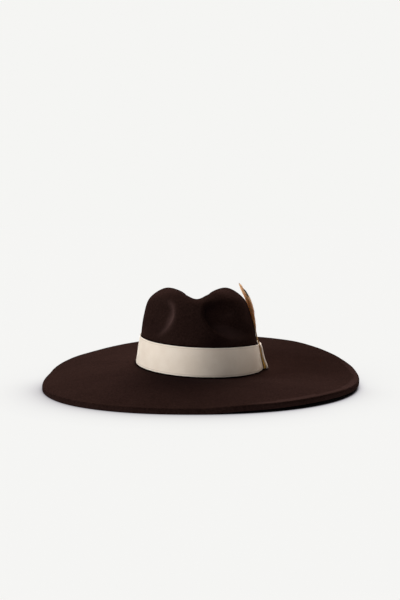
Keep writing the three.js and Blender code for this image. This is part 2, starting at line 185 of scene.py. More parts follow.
# The feather by place along it: each half's width as a share of the whole, and its bend and swing in degrees
FEATHER = {
    "along": (0, 0.3, 0.4, 0.47, 0.54, 0.58, 0.62, 0.72, 0.79, 0.82, 0.86, 0.93, 1),
    "front": (0, 0, 0.03, 0.2, 0.3, 0.27, 0.4, 0.46, 0.44, 0.36, 0.35, 0.22, 0.03),
    "back": (0, 0, 0.03, 0.13, 0.26, 0.34, 0.4, 0.5, 0.5, 0.46, 0.4, 0.26, 0.04),
    "bend": (0, 0, 0, -1, -1.5, -0.5, 1.5, 7, 11.5, 13.5, 17, 21.5, 26),
    "swing": (0, 0, 0, 4, 8, 10, 13, 17, 20, 21, 22, 24, 25),
}

# How far each half is turned out of the shaft's plane, in degrees
FLARE = {
    "along": (0.0, 0.38, 0.44, 0.5, 0.6, 0.75, 0.84, 0.9, 0.95, 1.0),
    "front": (0, 8, 20, 22, 21, 20, 19, 12, 24, 26),
    "back": (0, 4, 9, 13, 15, 17, 20, 24, 30, 30),
}

# The quill by distance from the crown's foot: its centre's height over the felt and its radius
QUILL = {
    "distance": (0.4, 5, 8, 12, 17, 25, 32, 34.5, 37, 40, 44, 60, 75, 130),
    "lift": (3.5, 3.4, 3.0, 2.6, 2.35, 2.2, 2.4, 2.35, 1.8, 1.3, 1.12, 1.05, 1.2, 1.35),
    "radius": (1.9, 1.85, 1.6, 1.25, 1.0, 0.88, 0.85, 0.85, 0.95, 1.05, 1.08, 1.0, 0.75, 0.3),
}

# The floor's rings by distance from the rim, and the share of light that the brim leaves beside itself
FLOOR_RINGS = (
    -120, -60, -30, -10, 0, 4, 8, 12, 16, 20, 25,
    30, 36, 42, 50, 62, 78, 110, 300, 2000, 60000,
)
CONTACT = {
    "beside": (0, 8, 15, 22, 30, 37, 50, 78),
    "light": (0.56, 0.73, 0.82, 0.88, 0.92, 0.945, 0.975, 1.0),
}

# Lights: name, azimuth and elevation in degrees, strength, size in degrees and colour
SUNS = (
    ("key", -72, 22, 2.6, 32, (1.0, 1.0, 0.98)),
    ("fill", -8, 14, 0.55, 50, (1.0, 0.96, 0.94)),
    ("back", 180, 34, 2.7, 36, (1.0, 0.97, 1.0)),
    ("back_high", 180, 48, 2.4, 40, (1.0, 0.82, 0.66)),
    ("side", 126, 8, 0.52, 14, (1.0, 0.84, 0.7)),
    ("under", 20, -82, 1.5, 30, WHITE),
)

# Camera, about 1.2 m away and 10 degrees above the table, in metres and in pixels of the picture
EYE_DISTANCE = 1.2
EYE_HEIGHT = 0.212
SENSOR = 36.0
FOCAL_PIXELS = 896.8
PICTURE_HEIGHT = 600.0
HORIZON_ROW = 224.0
AZIMUTH = math.radians(4.5)
PITCH = math.atan((PICTURE_HEIGHT / 2 - HORIZON_ROW) / FOCAL_PIXELS)


# A smooth curve through the points of a table
def through(xs, ys, at):
    xs = np.asarray(xs, float)
    ys = np.asarray(ys, float)
    at = np.clip(np.asarray(at, float), xs[0], xs[-1])
    before = np.concatenate(([ys[0]], ys[:-1]))
    after = np.concatenate((ys[1:], [ys[-1]]))
    x_before = np.concatenate(([xs[0]], xs[:-1]))
    x_after = np.concatenate((xs[1:], [xs[-1]]))
    slope = (after - before) / (x_after - x_before)
    i = np.clip(np.searchsorted(xs, at, side="right") - 1, 0, len(xs) - 2)
    span = xs[i + 1] - xs[i]
    t = (at - xs[i]) / span
    return (
        (2 * t**3 - 3 * t**2 + 1) * ys[i]
        + (t**3 - 2 * t**2 + t) * span * slope[i]
        + (3 * t**2 - 2 * t**3) * ys[i + 1]
        + (t**3 - t**2) * span * slope[i + 1]
    )


def wrapped(turn):
    return (np.asarray(turn, float) + 180) % 360 - 180


def share(name, turn):
    xs = SECTIONS["turn"]
    ys = SECTIONS[name]
    xs = (-xs[1],) + xs + (360 - xs[-2],)
    ys = (ys[1],) + ys + (ys[-2],)
    at = wrapped(turn)
    at = np.abs(at - FRONT_TURN * (1 + np.cos(np.radians(at))) / 2)
    return through(xs, ys, at)


def rim(name, turn):
    xs = RIM["turn"]
    ys = RIM[name]
    xs = (xs[-1] - 360,) + xs + (xs[0] + 360, xs[1] + 360)
    ys = (ys[-1],) + ys + (ys[0], ys[1])
    return through(xs, ys, wrapped(turn))


def rim_lift(turn):
    return np.maximum(rim("lift", turn), 0) * BACK_LIFT


def rim_reach(turn):
    return oval(turn, BRIM_WIDTH / 2, BRIM_LENGTH / 2, BRIM_FULLNESS) * rim("out", turn)


def smooth(x):
    t = np.clip(x, 0, 1)
    return t * t * t * (t * (6 * t - 15) + 10)


def hill(x, centre, width):
    return np.exp(-(((x - centre) / width) ** 2))


def oval(turn, half_width, half_length, fullness):
    a = np.radians(turn)
    s = np.abs(np.sin(a)) / half_width
    c = np.abs(np.cos(a)) / half_length
    return (s**fullness + c**fullness) ** (-1 / fullness)


def place(turn, out, z):
    a = np.radians(turn)
    return np.stack([out * np.sin(a), -out * np.cos(a), z + 0 * a], -1)


def foot_height(turn):
    a = np.radians(turn)
    return BRIM_DISH - BRIM_SIDE_DROP * np.sin(a) - BRIM_FRONT_DROP * np.cos(a)


# The ribbon's top edge sits a little lower on the side with its free end
def ribbon_top(turn):
    return RIBBON_SEAT + VISUAL_WIDTH - TOP_DROP * hill(wrapped(turn - TOP_LOW_TURN), 0, TOP_LOW_SPREAD)


# Rows of (turns, 2) points up the crown's wall from the foot to the centre of the top
def profile(turns, steps):
    foot = oval(turns, FOOT_HALF_WIDTH, FOOT_HALF_LENGTH, 2)
    base = foot_height(turns)
    rise = BRIM_DISH + CROWN_HEIGHT - base
    floor_up = 1 - FLOOR_DEPTH / CROWN_HEIGHT
    ridge_out = share("ridge_out", turns)
    ridge_up = share("ridge_up", turns)
    one = np.ones_like(foot)
    pairs = [
        (one, 0 * one),
        (share("band_out", turns), share("band_up", turns)),
        (share("waist_out", turns), share("waist_up", turns)),
        (share("shoulder_out", turns), share("shoulder_up", turns)),
        (ridge_out, ridge_up),
        (ridge_out / 2, floor_up + (ridge_up - floor_up) * share("dent", turns)),
        (0 * one, floor_up * one),
    ]
    chain = [np.stack([out * foot, base + up * rise], -1) for out, up in pairs]
    start = 2 * chain[0] - chain[1]
    end = chain[-2] * np.array([-1.0, 1.0])
    knots = [start] + chain + [end]
    rows = []
    for k in range(1, len(chain)):
        p0, p1, p2, p3 = knots[k - 1 : k + 3]
        d1 = np.linalg.norm(p1 - p0, axis=-1, keepdims=True)
        d2 = np.linalg.norm(p2 - p1, axis=-1, keepdims=True)
        d3 = np.linalg.norm(p3 - p2, axis=-1, keepdims=True)
        m1 = ((p1 - p0) * d2 / d1 + (p2 - p1) * d1 / d2) / (d1 + d2)
        m2 = ((p2 - p1) * d3 / d2 + (p3 - p2) * d2 / d3) / (d2 + d3)
        for j in range(steps[k - 1]):
            t = j / steps[k - 1]
            rows.append(
                (2 * t**3 - 3 * t**2 + 1) * p1
                + (t**3 - 2 * t**2 + t) * d2 * m1
                + (3 * t**2 - 2 * t**3) * p2
                + (t**3 - t**2) * d2 * m2
            )
    rows.append(chain[-1])
    return np.stack(rows)


# The front pinches and the lean of the crown
def pressed(points, pinched=True):
    x = points[..., 0]
    y = points[..., 1]
    up = (points[..., 2] - BRIM_DISH) / CROWN_HEIGHT
    half = through(NOSE["up"], NOSE["half"], np.clip(up, 0.26, 1.09)) * NOSE_WIDTH
    rise = smooth((up - PINCH_LOW) / (0.8 * (PINCH_MID - PINCH_LOW)))
    fall = 1 - smooth((up - PINCH_MID) / (PINCH_HIGH - PINCH_MID))
    front = smooth(-y / (0.18 * HEAD_LENGTH))
    moved = points.copy()
    for side in (-1, 1) if pinched else ():
        inside = side * (x + NOSE_OFFSET) - half + 0.5 * PINCH_WALL
        past = inside + 2 * np.maximum(y + HEAD_LENGTH / 10, 0)
        near = smooth((past / PINCH_WALL - 0.17) / 0.66)
        far = 1 - smooth((past - 0.8 * PINCH_WALL) / (PINCH_RUN - 0.8 * PINCH_WALL))
        depth = PINCH_DEPTH * near * far * rise * fall * front
        aim = math.radians(PINCH_AIM * side)
        moved[..., 0] -= depth * math.sin(aim)
        moved[..., 1] += depth * math.cos(aim)
    moved[..., 0] -= CROWN_LEAN * np.clip(up, 0, 1)
    return moved


def crown_rows(turns, steps, pinched=True):
    p = profile(turns, steps)
    return pressed(place(turns, p[..., 0], p[..., 1]), pinched)


# The brim's upper side from the crown's foot, round the turned edge and down to the cut
def brim_rows(turns, steps, curl):
    foot = oval(turns, FOOT_HALF_WIDTH, FOOT_HALF_LENGTH, 2)
    edge = rim_reach(turns)
    base = foot_height(turns)
    crest = rim_lift(turns) + EDGE_DROP
    swell = BRIM_SWELL * np.clip((base - crest) / BRIM_DISH, -0.3, 1)
    rows = []
    for i in range(steps + 1):
        s = i / steps
        out = foot + (edge - EDGE_RADIUS - foot) * s
        z = base + (crest - base) * s**1.25 + swell * math.sin(math.pi * s)
        rows.append(place(turns, out, z))
    for i in range(1, curl + 1):
        a = math.pi / 2 * i / curl
        out = edge - EDGE_RADIUS + EDGE_RADIUS * math.sin(a)
        z = crest - EDGE_RADIUS + EDGE_RADIUS * math.cos(a)
        rows.append(place(turns, out, z))
    for drop in (0.25, 0.5, 0.75, 1.0):
        down = EDGE_RADIUS + (EDGE_DROP - EDGE_RADIUS) * drop
        rows.append(place(turns, edge, crest - down))
    return np.stack(rows)


def unit(v):
    return v / np.maximum(np.linalg.norm(v, axis=-1, keepdims=True), 1e-12)


# The felt's outside from next to the crown's centre to the cut edge
def felt_rows(turns, steps, brim_steps, curl, bend, pinched=True):
    wall = crown_rows(turns, steps, pinched)[::-1]
    brim = brim_rows(turns, brim_steps, curl)
    corner = wall[-1]
    up = corner + unit(wall[-2] - corner) * FILLET
    out = corner + unit(brim[1] - corner) * FILLET
    wall = wall[1:-1]
    keep = wall[:, :, 2].min(axis=1) > up[:, 2].max() + 0.3
    wall = wall[keep]
    span = np.linalg.norm(brim - corner, axis=-1).min(axis=1)
    brim = brim[span > FILLET + 0.3]
    turned = []
    for i in range(bend + 1):
        t = i / bend
        turned.append(up * (1 - t) ** 2 + corner * 2 * t * (1 - t) + out * t * t)
    return np.concatenate([wall, np.stack(turned), brim])


# Outward directions of a grid of rows that closes at the top
def grid_normals(rows, top):
    up = np.concatenate([np.broadcast_to(top, rows[:1].shape), rows[:-1]])
    down = np.concatenate([rows[1:], rows[-1:]])
    across = np.roll(rows, -1, axis=1) - np.roll(rows, 1, axis=1)
    normal = unit(np.cross(down - up, across))
    normal[-1, :, 2] = 0
    normal[-1] = unit(normal[-1])
    return normal


def soft_noise(points, size, seed):
    flat = points.reshape(-1, 3)
    shift = Vector((seed * 17.3, seed * 5.1, seed * 9.7))
    values = [noise.noise(Vector(p) / size + shift) for p in flat.tolist()]
    return np.array(values).reshape(points.shape[:-1])


def make_mesh(name, vertices, faces, uvs=None):
    mesh = bpy.data.meshes.new(name)
    placed = np.asarray(vertices) + np.array([FOOTPRINT_SHIFT, 0, 0])
    mesh.from_pydata((placed * MM).tolist(), [], faces)
    if uvs is not None:
        layer = mesh.uv_layers.new(name="cloth")
        index = np.empty(len(mesh.loops), dtype=np.int32)
        mesh.loops.foreach_get("vertex_index", index)
        layer.data.foreach_set("uv", np.asarray(uvs, dtype=np.float32)[index].ravel())
    mesh.update()
    mesh.polygons.foreach_set("use_smooth", [True] * len(mesh.polygons))
    thing = bpy.data.objects.new(name, mesh)
    bpy.context.scene.collection.objects.link(thing)
    return thing


# Faces between closed rings of points
def strip_faces(count_rows, count_columns, start=0):
    faces = []
    for r in range(count_rows - 1):
        for c in range(count_columns):
            n = (c + 1) % count_columns
            a = start + r * count_columns
            b = a + count_columns
            faces.append((a + c, b + c, b + n, a + n))
    return faces


# Node helpers
def new_material(name):
    material = bpy.data.materials.new(name)
    material.use_nodes = True
    tree = material.node_tree
    shader = tree.nodes["Principled BSDF"]
    return material, tree, shader


def set_inputs(node, values):
    for key, value in values.items():
        node.inputs[key].default_value = value


def add(tree, kind, **values):
    node = tree.nodes.new(kind)
    for key, value in values.items():
        if key in node.inputs:
            node.inputs[key].default_value = value
        else:
            setattr(node, key, value)
    return node


def object_point(tree):
    return tree.nodes.new("ShaderNodeTexCoord").outputs["Object"]


def painted(tree, name):
    return add(tree, "ShaderNodeAttribute", attribute_name=name).outputs["Fac"]


# The mesh's own U and V
def cloth_uv(tree):
    uv = add(tree, "ShaderNodeUVMap", uv_map="cloth")
    split = tree.nodes.new("ShaderNodeSeparateXYZ")
    tree.links.new(uv.outputs["UV"], split.inputs[0])
    return split.outputs[0], split.outputs[1]


def noise_at(tree, vector, scale, detail, rough):
    node = add(tree, "ShaderNodeTexNoise", Scale=scale, Detail=detail, Roughness=rough)
    tree.links.new(vector, node.inputs["Vector"])
    return node.outputs["Fac"]


def ramp(tree, value, stops):
    node = tree.nodes.new("ShaderNodeValToRGB")
    tree.links.new(value, node.inputs["Fac"])
    band = node.color_ramp
    while len(band.elements) < len(stops):
        band.elements.new(0.5)
    for element, (at, colour) in zip(band.elements, stops):
        element.position = at
        element.color = (*colour, 1)
    return node.outputs["Color"]


def blend(tree, factor, a, b, mode="MIX"):
    node = tree.nodes.new("ShaderNodeMix")
    node.data_type = "RGBA"
    node.blend_type = mode
    for value, slot in ((factor, 0), (a, 6), (b, 7)):
        if isinstance(value, (int, float)):
            node.inputs[slot].default_value = value
        elif isinstance(value, tuple):
            node.inputs[slot].default_value = (*value, 1)
        else:
            tree.links.new(value, node.inputs[slot])
    return node.outputs[2]


def maths(tree, operation, a, b=None, c=None, clamp=False):
    node = tree.nodes.new("ShaderNodeMath")
    node.operation = operation
    node.use_clamp = clamp
    for slot, value in enumerate((a, b, c)):
        if value is None:
            continue
        if isinstance(value, (int, float)):
            node.inputs[slot].default_value = value
        else:
            tree.links.new(value, node.inputs[slot])
    return node.outputs[0]


def times(tree, value, factor):
    return maths(tree, "MULTIPLY", value, factor)


# A wave between 0 and 1 whose length is in the same unit as the value
def wave_of(tree, value, length):
    turn = maths(tree, "SINE", times(tree, value, 2 * math.pi / length))
    return maths(tree, "MULTIPLY_ADD", turn, 0.5, 0.5)


def bump(tree, height, strength, distance, normal=None):
    node = add(tree, "ShaderNodeBump", Strength=strength, Distance=distance)
    tree.links.new(height, node.inputs["Height"])
    if normal is not None:
        tree.links.new(normal, node.inputs["Normal"])
    return node.outputs["Normal"]


# Two shaders mixed into the tree's output
def mix_shaders(tree, factor, first, second, output):
    node = tree.nodes.new("ShaderNodeMixShader")
    if isinstance(factor, float):
        node.inputs[0].default_value = factor
    else:
        tree.links.new(factor, node.inputs[0])
    tree.links.new(first.outputs[0], node.inputs[1])
    tree.links.new(second.outputs[0], node.inputs[2])
    tree.links.new(node.outputs[0], tree.nodes[output].inputs["Surface"])


def felt_material():
    material, tree, shader = new_material("brown_felt")
    at = object_point(tree)
    patch = noise_at(tree, at, 34, 5, 0.62)
    fleck = noise_at(tree, at, 420, 4, 0.72)
    stretch = add(tree, "ShaderNodeMapping", Scale=(1.0, 1.0, 0.3))
    tree.links.new(at, stretch.inputs["Vector"])
    nap_and_painted_shading = noise_at(tree, stretch.outputs["Vector"], 1300, 3, 0.65)
    base = ramp(tree, patch, [(0.32, (0.0118, 0.0057, 0.0047)), (0.68, (0.0158, 0.0079, 0.0066))])
    light = ramp(tree, fleck, [(0.42, BLACK), (0.78, WHITE)])
    mottled = blend(tree, times(tree, light, 0.55), base, (0.034, 0.0175, 0.0148))
    dark = ramp(tree, fleck, [(0.24, WHITE), (0.46, BLACK)])
    shaded = blend(tree, times(tree, dark, 0.6), mottled, (0.0075, 0.0034, 0.0028))
    # Painted light and shade from the felt's points: a painted highlight where it is painted lighter, a
    # painted shade where it is painted darker
    painted_shading_value = painted(tree, "nap_and_painted_shading")
    highlight_share = ramp(tree, painted_shading_value, [(0.52, BLACK), (0.9, WHITE)])
    # sunk is the share of painted shade
    sunk = ramp(tree, painted_shading_value, [(0.15, WHITE), (0.49, BLACK)])
    painted_highlight = blend(tree, highlight_share, shaded, (0.07, 0.04, 0.037))
    painted_shade = blend(tree, times(tree, sunk, 0.72), painted_highlight, (0.0055, 0.0023, 0.0026))
    # Near-black painted shadow in thin lines above and below the ribbon
    tucked = blend(tree, painted(tree, "painted_contact_shadow"), painted_shade, (0.0006, 0.0003, 0.0003))
    tree.links.new(tucked, shader.inputs["Base Color"])
    set_inputs(shader, {
        "Roughness": 0.92,
        "Specular IOR Level": 0.0,
        "Sheen Weight": 0.016,
        "Sheen Roughness": 0.5,
        "Sheen Tint": (1.0, 0.6, 0.55, 1),
    })
    soft = bump(tree, noise_at(tree, at, 150, 4, 0.55), 0.4, 0.0009)
    tree.links.new(bump(tree, nap_and_painted_shading, 0.5, 0.0003, soft), shader.inputs["Normal"])
    return material


# Ribbed ribbon. U runs along the ribbon and V across it, both in metres
def ribbon_material(name, width):
    rib_pitch = 0.00085
    thread_pitch = 0.00032
    selvedge_width = 0.0011
    material, tree, shader = new_material(name)
    along, across = cloth_uv(tree)
    at = object_point(tree)
    rib = wave_of(tree, along, rib_pitch)
    thread = wave_of(tree, across, thread_pitch)
    middle = maths(tree, "SUBTRACT", across, width / 2)
    from_edge = maths(tree, "SUBTRACT", width / 2, maths(tree, "ABSOLUTE", middle))
    selvedge = maths(tree, "SUBTRACT", 1.0, times(tree, from_edge, 1 / selvedge_width), clamp=True)
    weave = maths(tree, "ADD", times(tree, rib, 0.75), times(tree, thread, 0.25))
    soft = noise_at(tree, at, 55, 4, 0.55)
    slub = noise_at(tree, at, 1200, 2, 0.6)
    base = ramp(tree, soft, [(0.3, (0.79, 0.68, 0.572)), (0.7, (0.85, 0.75, 0.646))])
    # Painted shade between the ribs
    between = times(tree, maths(tree, "SUBTRACT", 1.0, rib), 0.22)
    ribbed = blend(tree, between, base, (0.6, 0.5, 0.4))
    slubbed = blend(tree, times(tree, slub, 0.12), ribbed, (0.88, 0.81, 0.73))
    # A painted shade line in the groove just inside each selvedge, and a painted highlight on the selvedges
    centimetres = times(tree, from_edge, 100.0)
    lined = ramp(tree, centimetres, [(0.13, BLACK), (0.17, WHITE), (0.21, WHITE), (0.26, BLACK)])
    groove_shaded = blend(tree, times(tree, lined, 0.3), slubbed, (0.42, 0.34, 0.27))
    edged = blend(tree, times(tree, selvedge, 0.55), groove_shaded, (0.9, 0.83, 0.75))
    tree.links.new(edged, shader.inputs["Base Color"])
    set_inputs(shader, {
        "Roughness": 0.62,
        "Specular IOR Level": 0.3,
        "Sheen Weight": 0.12,
        "Sheen Roughness": 0.4,
    })
    height = maths(tree, "MAXIMUM", times(tree, weave, 0.8), selvedge)
    normal = bump(tree, height, 0.6, 0.00022)
    tree.links.new(bump(tree, slub, 0.2, 0.0001, normal), shader.inputs["Normal"])
    return material


# Barbs. V is the place along the feather, 0 to 1, and U the place out from the shaft, minus in front
def barb_material():
    barb_pitch = 0.0016
    material, tree, shader = new_material("feather_barbs")
    out, along = cloth_uv(tree)
    at = object_point(tree)
    warp = noise_at(tree, at, 130, 3, 0.6)
    fleck = noise_at(tree, at, 900, 2, 0.6)
    tan = ramp(tree, warp, [(0.3, (0.72, 0.48, 0.27)), (0.7, (0.84, 0.61, 0.38))])
    pale = blend(tree, times(tree, fleck, 0.35), tan, (0.92, 0.7, 0.5))
    amber = ramp(tree, maths(tree, "ABSOLUTE", out), [(0.0, WHITE), (0.2, BLACK)])
    warmed = blend(tree, times(tree, amber, 0.5), pale, (0.5, 0.28, 0.1))
    near_edge = ramp(tree, times(tree, out, -1.0), [(0.26, BLACK), (0.4, WHITE)])
    near_tip = ramp(tree, along, [(0.77, BLACK), (0.8, WHITE), (0.88, WHITE), (0.91, BLACK)])
    mark = blend(tree, 1.0, near_edge, near_tip, "MULTIPLY")
    colour = blend(tree, mark, warmed, (0.012, 0.006, 0.005))
    tree.links.new(colour, shader.inputs["Base Color"])
    set_inputs(shader, {"Roughness": 0.7, "Specular IOR Level": 0.15})
    fine_barbs = maths(tree, "SINE", times(tree, along, 2 * math.pi / barb_pitch))
    tree.links.new(bump(tree, fine_barbs, 0.25, 0.0001), shader.inputs["Normal"])
    through_light = add(tree, "ShaderNodeBsdfTranslucent")
    tree.links.new(colour, through_light.inputs["Color"])
    mix_shaders(tree, 0.5, shader, through_light, "Material Output")
    return material


# The shaft is amber at its foot and turns tan towards the tip
def quill_material():
    material, tree, shader = new_material("feather_shaft")
    split = tree.nodes.new("ShaderNodeSeparateXYZ")
    at = object_point(tree)
    tree.links.new(at, split.inputs[0])
    height = ramp(tree, times(tree, split.outputs[2], 8.0), [
        (0.2, (0.78, 0.42, 0.07)),
        (0.5, (0.6, 0.31, 0.1)),
        (0.75, (0.6, 0.34, 0.16)),
        (1.0, (0.5, 0.28, 0.13)),
    ])
    streak = noise_at(tree, at, 420, 3, 0.6)
    colour = blend(tree, times(tree, streak, 0.45), height, (0.86, 0.62, 0.3))
    tree.links.new(colour, shader.inputs["Base Color"])
    set_inputs(shader, {"Roughness": 0.55, "Specular IOR Level": 0.15})
    tree.links.new(bump(tree, streak, 0.15, 0.0002), shader.inputs["Normal"])
    return material


# A number at each vertex, read by the materials
def paint(thing, name, values):
    layer = thing.data.attributes.new(name, "FLOAT", "POINT")
    layer.data.foreach_set("value", np.asarray(values, dtype=np.float32))


# The felt body, finer outside than inside
COLUMNS = 320
FINE = ((52, 18, 20, 20, 10, 8), 44, 10, 8)
COARSE = ((10, 7, 9, 9, 5, 4), 16, 5, 4)
ONE_STEP = (1, 1, 1, 1, 1, 1)
LIP_SHARES = (0.06, 0.22, 0.5, 0.78, 0.94)
LIP_RISE = np.array([0, 0, EDGE_BEVEL])

turns = np.arange(COLUMNS) * 360.0 / COLUMNS
top = crown_rows(turns[:1], ONE_STEP)[-1, 0]
fine = felt_rows(turns, *FINE)
fine_normals = grid_normals(fine, top)
plain_normals = grid_normals(felt_rows(turns, *FINE, pinched=False), top)
coarse = felt_rows(turns, *COARSE)
coarse_normals = grid_normals(coarse, top)


# Unevenness of hand-shaped felt, nothing at the resting edge
def uneven(points):
    held = smooth((points[..., 2] - EDGE_DROP * 0.6) / 12)
    broad = 0.55 * soft_noise(points, 46, 1)
    close = 0.16 * soft_noise(points, 15, 2)
    return (broad + close) * held


fine = fine + fine_normals * uneven(fine)[..., None]
coarse_in = coarse - FELT * coarse_normals
coarse_in = coarse_in + coarse_normals * uneven(coarse)[..., None]
lip = [fine[-1] + (coarse_in[-1] - fine[-1]) * across for across in LIP_SHARES]
fine[-1] = fine[-1] + LIP_RISE
coarse_in[-1] = coarse_in[-1] + LIP_RISE
grid = np.concatenate([fine, np.stack(lip), coarse_in[::-1]])
rows = len(grid)
felt_vertices = np.concatenate([grid.reshape(-1, 3), top[None], (top - [0, 0, FELT])[None]])
felt_faces = [tuple(reversed(face)) for face in strip_faces(rows, COLUMNS)]
top_index = rows * COLUMNS
last_row = (rows - 1) * COLUMNS
for c in range(COLUMNS):
    n = (c + 1) % COLUMNS
    felt_faces.append((top_index, n, c))
    felt_faces.append((top_index + 1, last_row + c, last_row + n))
felt = make_mesh("felt_crown_and_brim", felt_vertices, felt_faces)

# Distance along the felt from the crown's foot, minus on the brim
wall_run = np.linalg.norm(np.diff(fine[::-1], axis=0), axis=-1)
from_foot = np.concatenate([np.zeros((1, COLUMNS)), np.cumsum(wall_run, axis=0)])[::-1]
foot_row = np.argmin(np.linalg.norm(fine - crown_rows(turns, ONE_STEP)[0], axis=-1), axis=0)
from_foot = from_foot - from_foot[foot_row, np.arange(COLUMNS)]


def softened(table, passes):
    for _ in range(passes):
        table = (2 * table + np.roll(table, 1, axis=1) + np.roll(table, -1, axis=1)) / 4
        table[1:-1] = (2 * table[1:-1] + table[2:] + table[:-2]) / 4
    return table


def paint_felt(name, values, elsewhere):
    table = np.full(len(felt_vertices), elsewhere)
    table[: fine.shape[0] * COLUMNS] = np.clip(values, 0, 1).ravel()
    paint(felt, name, table)


# Painted light and shade: the felt is painted lighter where a pinch turns it up or to the left, towards the
# key light, and darker where it turns it away
on_left = fine[..., 0] < NOSE_SIDE
turned = fine_normals - plain_normals
left_side = 0.22 * turned[..., 2] - 1.05 * turned[..., 0]
left_side = np.where(left_side < 0, 0.15 * left_side, left_side)
left_side = left_side * (1.15 - 0.4 * smooth((from_foot - 62) / 22))
left_side = softened(np.where(on_left, 1.45 * np.roll(left_side, -2, axis=1), 0), 14)
right_side = 0.75 * turned[..., 2] - 0.65 * turned[..., 0]
right_side = np.where(right_side > 0, 0.62 * right_side, right_side)
right_side = softened(np.where(on_left, 0, right_side), 5)

# Painted shade in the hollow above the ribbon and on the brim in front of the ribbon, and a painted
# highlight along the brim's right crest
spread = wrapped(turns)[None]
hollow = hill(spread, 17, 9) * hill(from_foot, 41, 10) * (from_foot > 20)
on_crest = np.abs(fine[..., 2] - rim_lift(spread) - EDGE_DROP) < 0.6
on_rim = np.linalg.norm(fine[..., :2], axis=-1) > rim_reach(turns)[None] - 9
crest = smooth((spread - 10) / 20) * smooth((118 - spread) / 20) * on_crest * on_rim
brim_gap = np.maximum(RIBBON_SEAT - from_foot, 0)
before_ribbon = hill(brim_gap, 0, 70) * (from_foot < RIBBON_SEAT) * hill(spread, -9, 27)
painted_shading = left_side + right_side - 0.55 * hollow + 0.2 * crest - 0.7 * before_ribbon
# Painted light and shade, stored at the felt's points
paint_felt("nap_and_painted_shading", 0.5 + 0.5 * painted_shading, 0.5)

# Painted shadow on the felt in thin lines just above and below the ribbon, where the ribbon shades it
above = np.clip(1 - (from_foot - ribbon_top(turns)[None]) / 1.7, 0, 1) * (from_foot > RIBBON_SEAT)
below = np.clip(1 - (RIBBON_SEAT - from_foot) / 5.5, 0, 1) * (from_foot <= RIBBON_SEAT)
paint_felt("painted_contact_shadow", 1.3 * (above + below), 0.0)
felt.data.materials.append(felt_material())
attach(felt, "root")
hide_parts("felt_body")


# Points on the crown's outside by turn and by distance along the wall from its foot
def on_crown(turns_at, distances, steps=WALL_STEPS):
    wall = crown_rows(np.asarray(turns_at, float), steps)
    lengths = np.linalg.norm(np.diff(wall, axis=0), axis=-1)
    run = np.concatenate([np.zeros((1, lengths.shape[1])), np.cumsum(lengths, axis=0)])
    distances = np.asarray(distances, float)
    if distances.ndim == 1:
        distances = np.repeat(distances[:, None], wall.shape[1], axis=1)
    found = np.empty(distances.shape + (3,))
    below = np.minimum(distances, 0)
    for c in range(wall.shape[1]):
        for axis in range(3):
            found[:, c, axis] = np.interp(distances[:, c], run[:, c], wall[:, c, axis])
        found[:, c] += below[:, c, None] * unit(wall[1, c] - wall[0, c])[None]
    return found


# The same points with the ways up the wall, round it and out of it
def crown_normals(turns_at, distances, steps=WALL_STEPS):
    here = on_crown(turns_at, distances, steps)
    side = on_crown(np.asarray(turns_at) + 0.5, distances, steps)
    above = on_crown(turns_at, np.asarray(distances) + 0.5, steps)
    across = unit(side - here)
    way = unit(above - here)
    return here, way, across, unit(np.cross(across, way))


# A ribbon between two distances along the wall, standing off by lifts, with its selvedges rounded
def ribbon_grid(turns_at, low, high, lift, thick, steps):
    shares = np.linspace(0, 1, steps)[:, None]
    distances = low + (high - low) * shares
    here, way, across, normal = crown_normals(turns_at, distances)
    outer = here + normal * (lift + thick)[..., None]
    inner = here + normal * lift[..., None]
    half_out = lift + thick * 0.5
    tip = here[-1] + way[-1] * SELVEDGE_ROUND + normal[-1] * half_out[-1][..., None]
    toe = here[0] - way[0] * SELVEDGE_ROUND + normal[0] * half_out[0][..., None]
    return outer, inner, tip, toe


# The ribbon's ring, with soft ripples, two creases and a loose spot where the feather is tucked in
shape = (BAND_STEPS, BAND_COLUMNS)
band_turns = np.arange(BAND_COLUMNS) * 360.0 / BAND_COLUMNS
v = np.linspace(0, 1, BAND_STEPS)[:, None] * np.ones(shape)
a = np.radians(band_turns)[None] * np.ones(shape)
ripple = 0.1 * np.sin(3 * a + 0.4) * np.sin(math.pi * v) + 0.07 * np.sin(11 * a + 2.0 * v)
crease = 0.3 * hill(a, np.radians(33.0 + 3.0 * v), 0.03) * (0.35 + 0.65 * v)
second = 0.16 * hill(a, math.radians(316.0) - 0.05 * v, 0.035) * v
snug = 0.62 - 0.2 * smooth((v - 0.55) / 0.45)
tucked = 0.5 * hill(a, math.radians(87.0), 0.3) * smooth((v - 0.45) / 0.5)
lift = snug + ripple + crease + second + tucked
thick = SHEET + 0.1 * hill(np.minimum(v, 1 - v), 0, 0.02)
outer, inner, tip, toe = ribbon_grid(
    band_turns, RIBBON_SEAT, ribbon_top(band_turns)[None], lift, thick, BAND_STEPS
)
loop = np.concatenate([toe[None], outer, tip[None], inner[::3][::-1]])
loop_count = len(loop)
middle_line = on_crown(band_turns, [RIBBON_SEAT + RIBBON_WIDTH / 2])[0]
middle_steps = np.diff(np.concatenate([middle_line, middle_line[:1]]), axis=0)
runs = np.concatenate([[0], np.cumsum(np.linalg.norm(middle_steps, axis=1))])
outer_shares = list(np.linspace(0, 1, BAND_STEPS))
across_shares = [0.0] + outer_shares + [1.0] + outer_shares[::3][::-1]
band_uvs = [(run * MM, across * VISUAL_WIDTH * MM) for across in across_shares for run in runs]
closed_loop = np.concatenate([loop, loop[:, :1]], axis=1)
band_faces = []
for r in range(loop_count):
    for c in range(BAND_COLUMNS):
        p = r * (BAND_COLUMNS + 1) + c
        q = (r + 1) % loop_count * (BAND_COLUMNS + 1) + c
        band_faces.append((p, p + 1, q + 1, q))
band = make_mesh("ribbon_band", closed_loop.reshape(-1, 3), band_faces, band_uvs)
band.data.materials.append(ribbon_material("ribbed_ribbon", VISUAL_WIDTH * MM))
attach(band, "root")
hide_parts("hat_band")


def quill(name, distance):
    return float(np.interp(distance, QUILL["distance"], QUILL[name]))


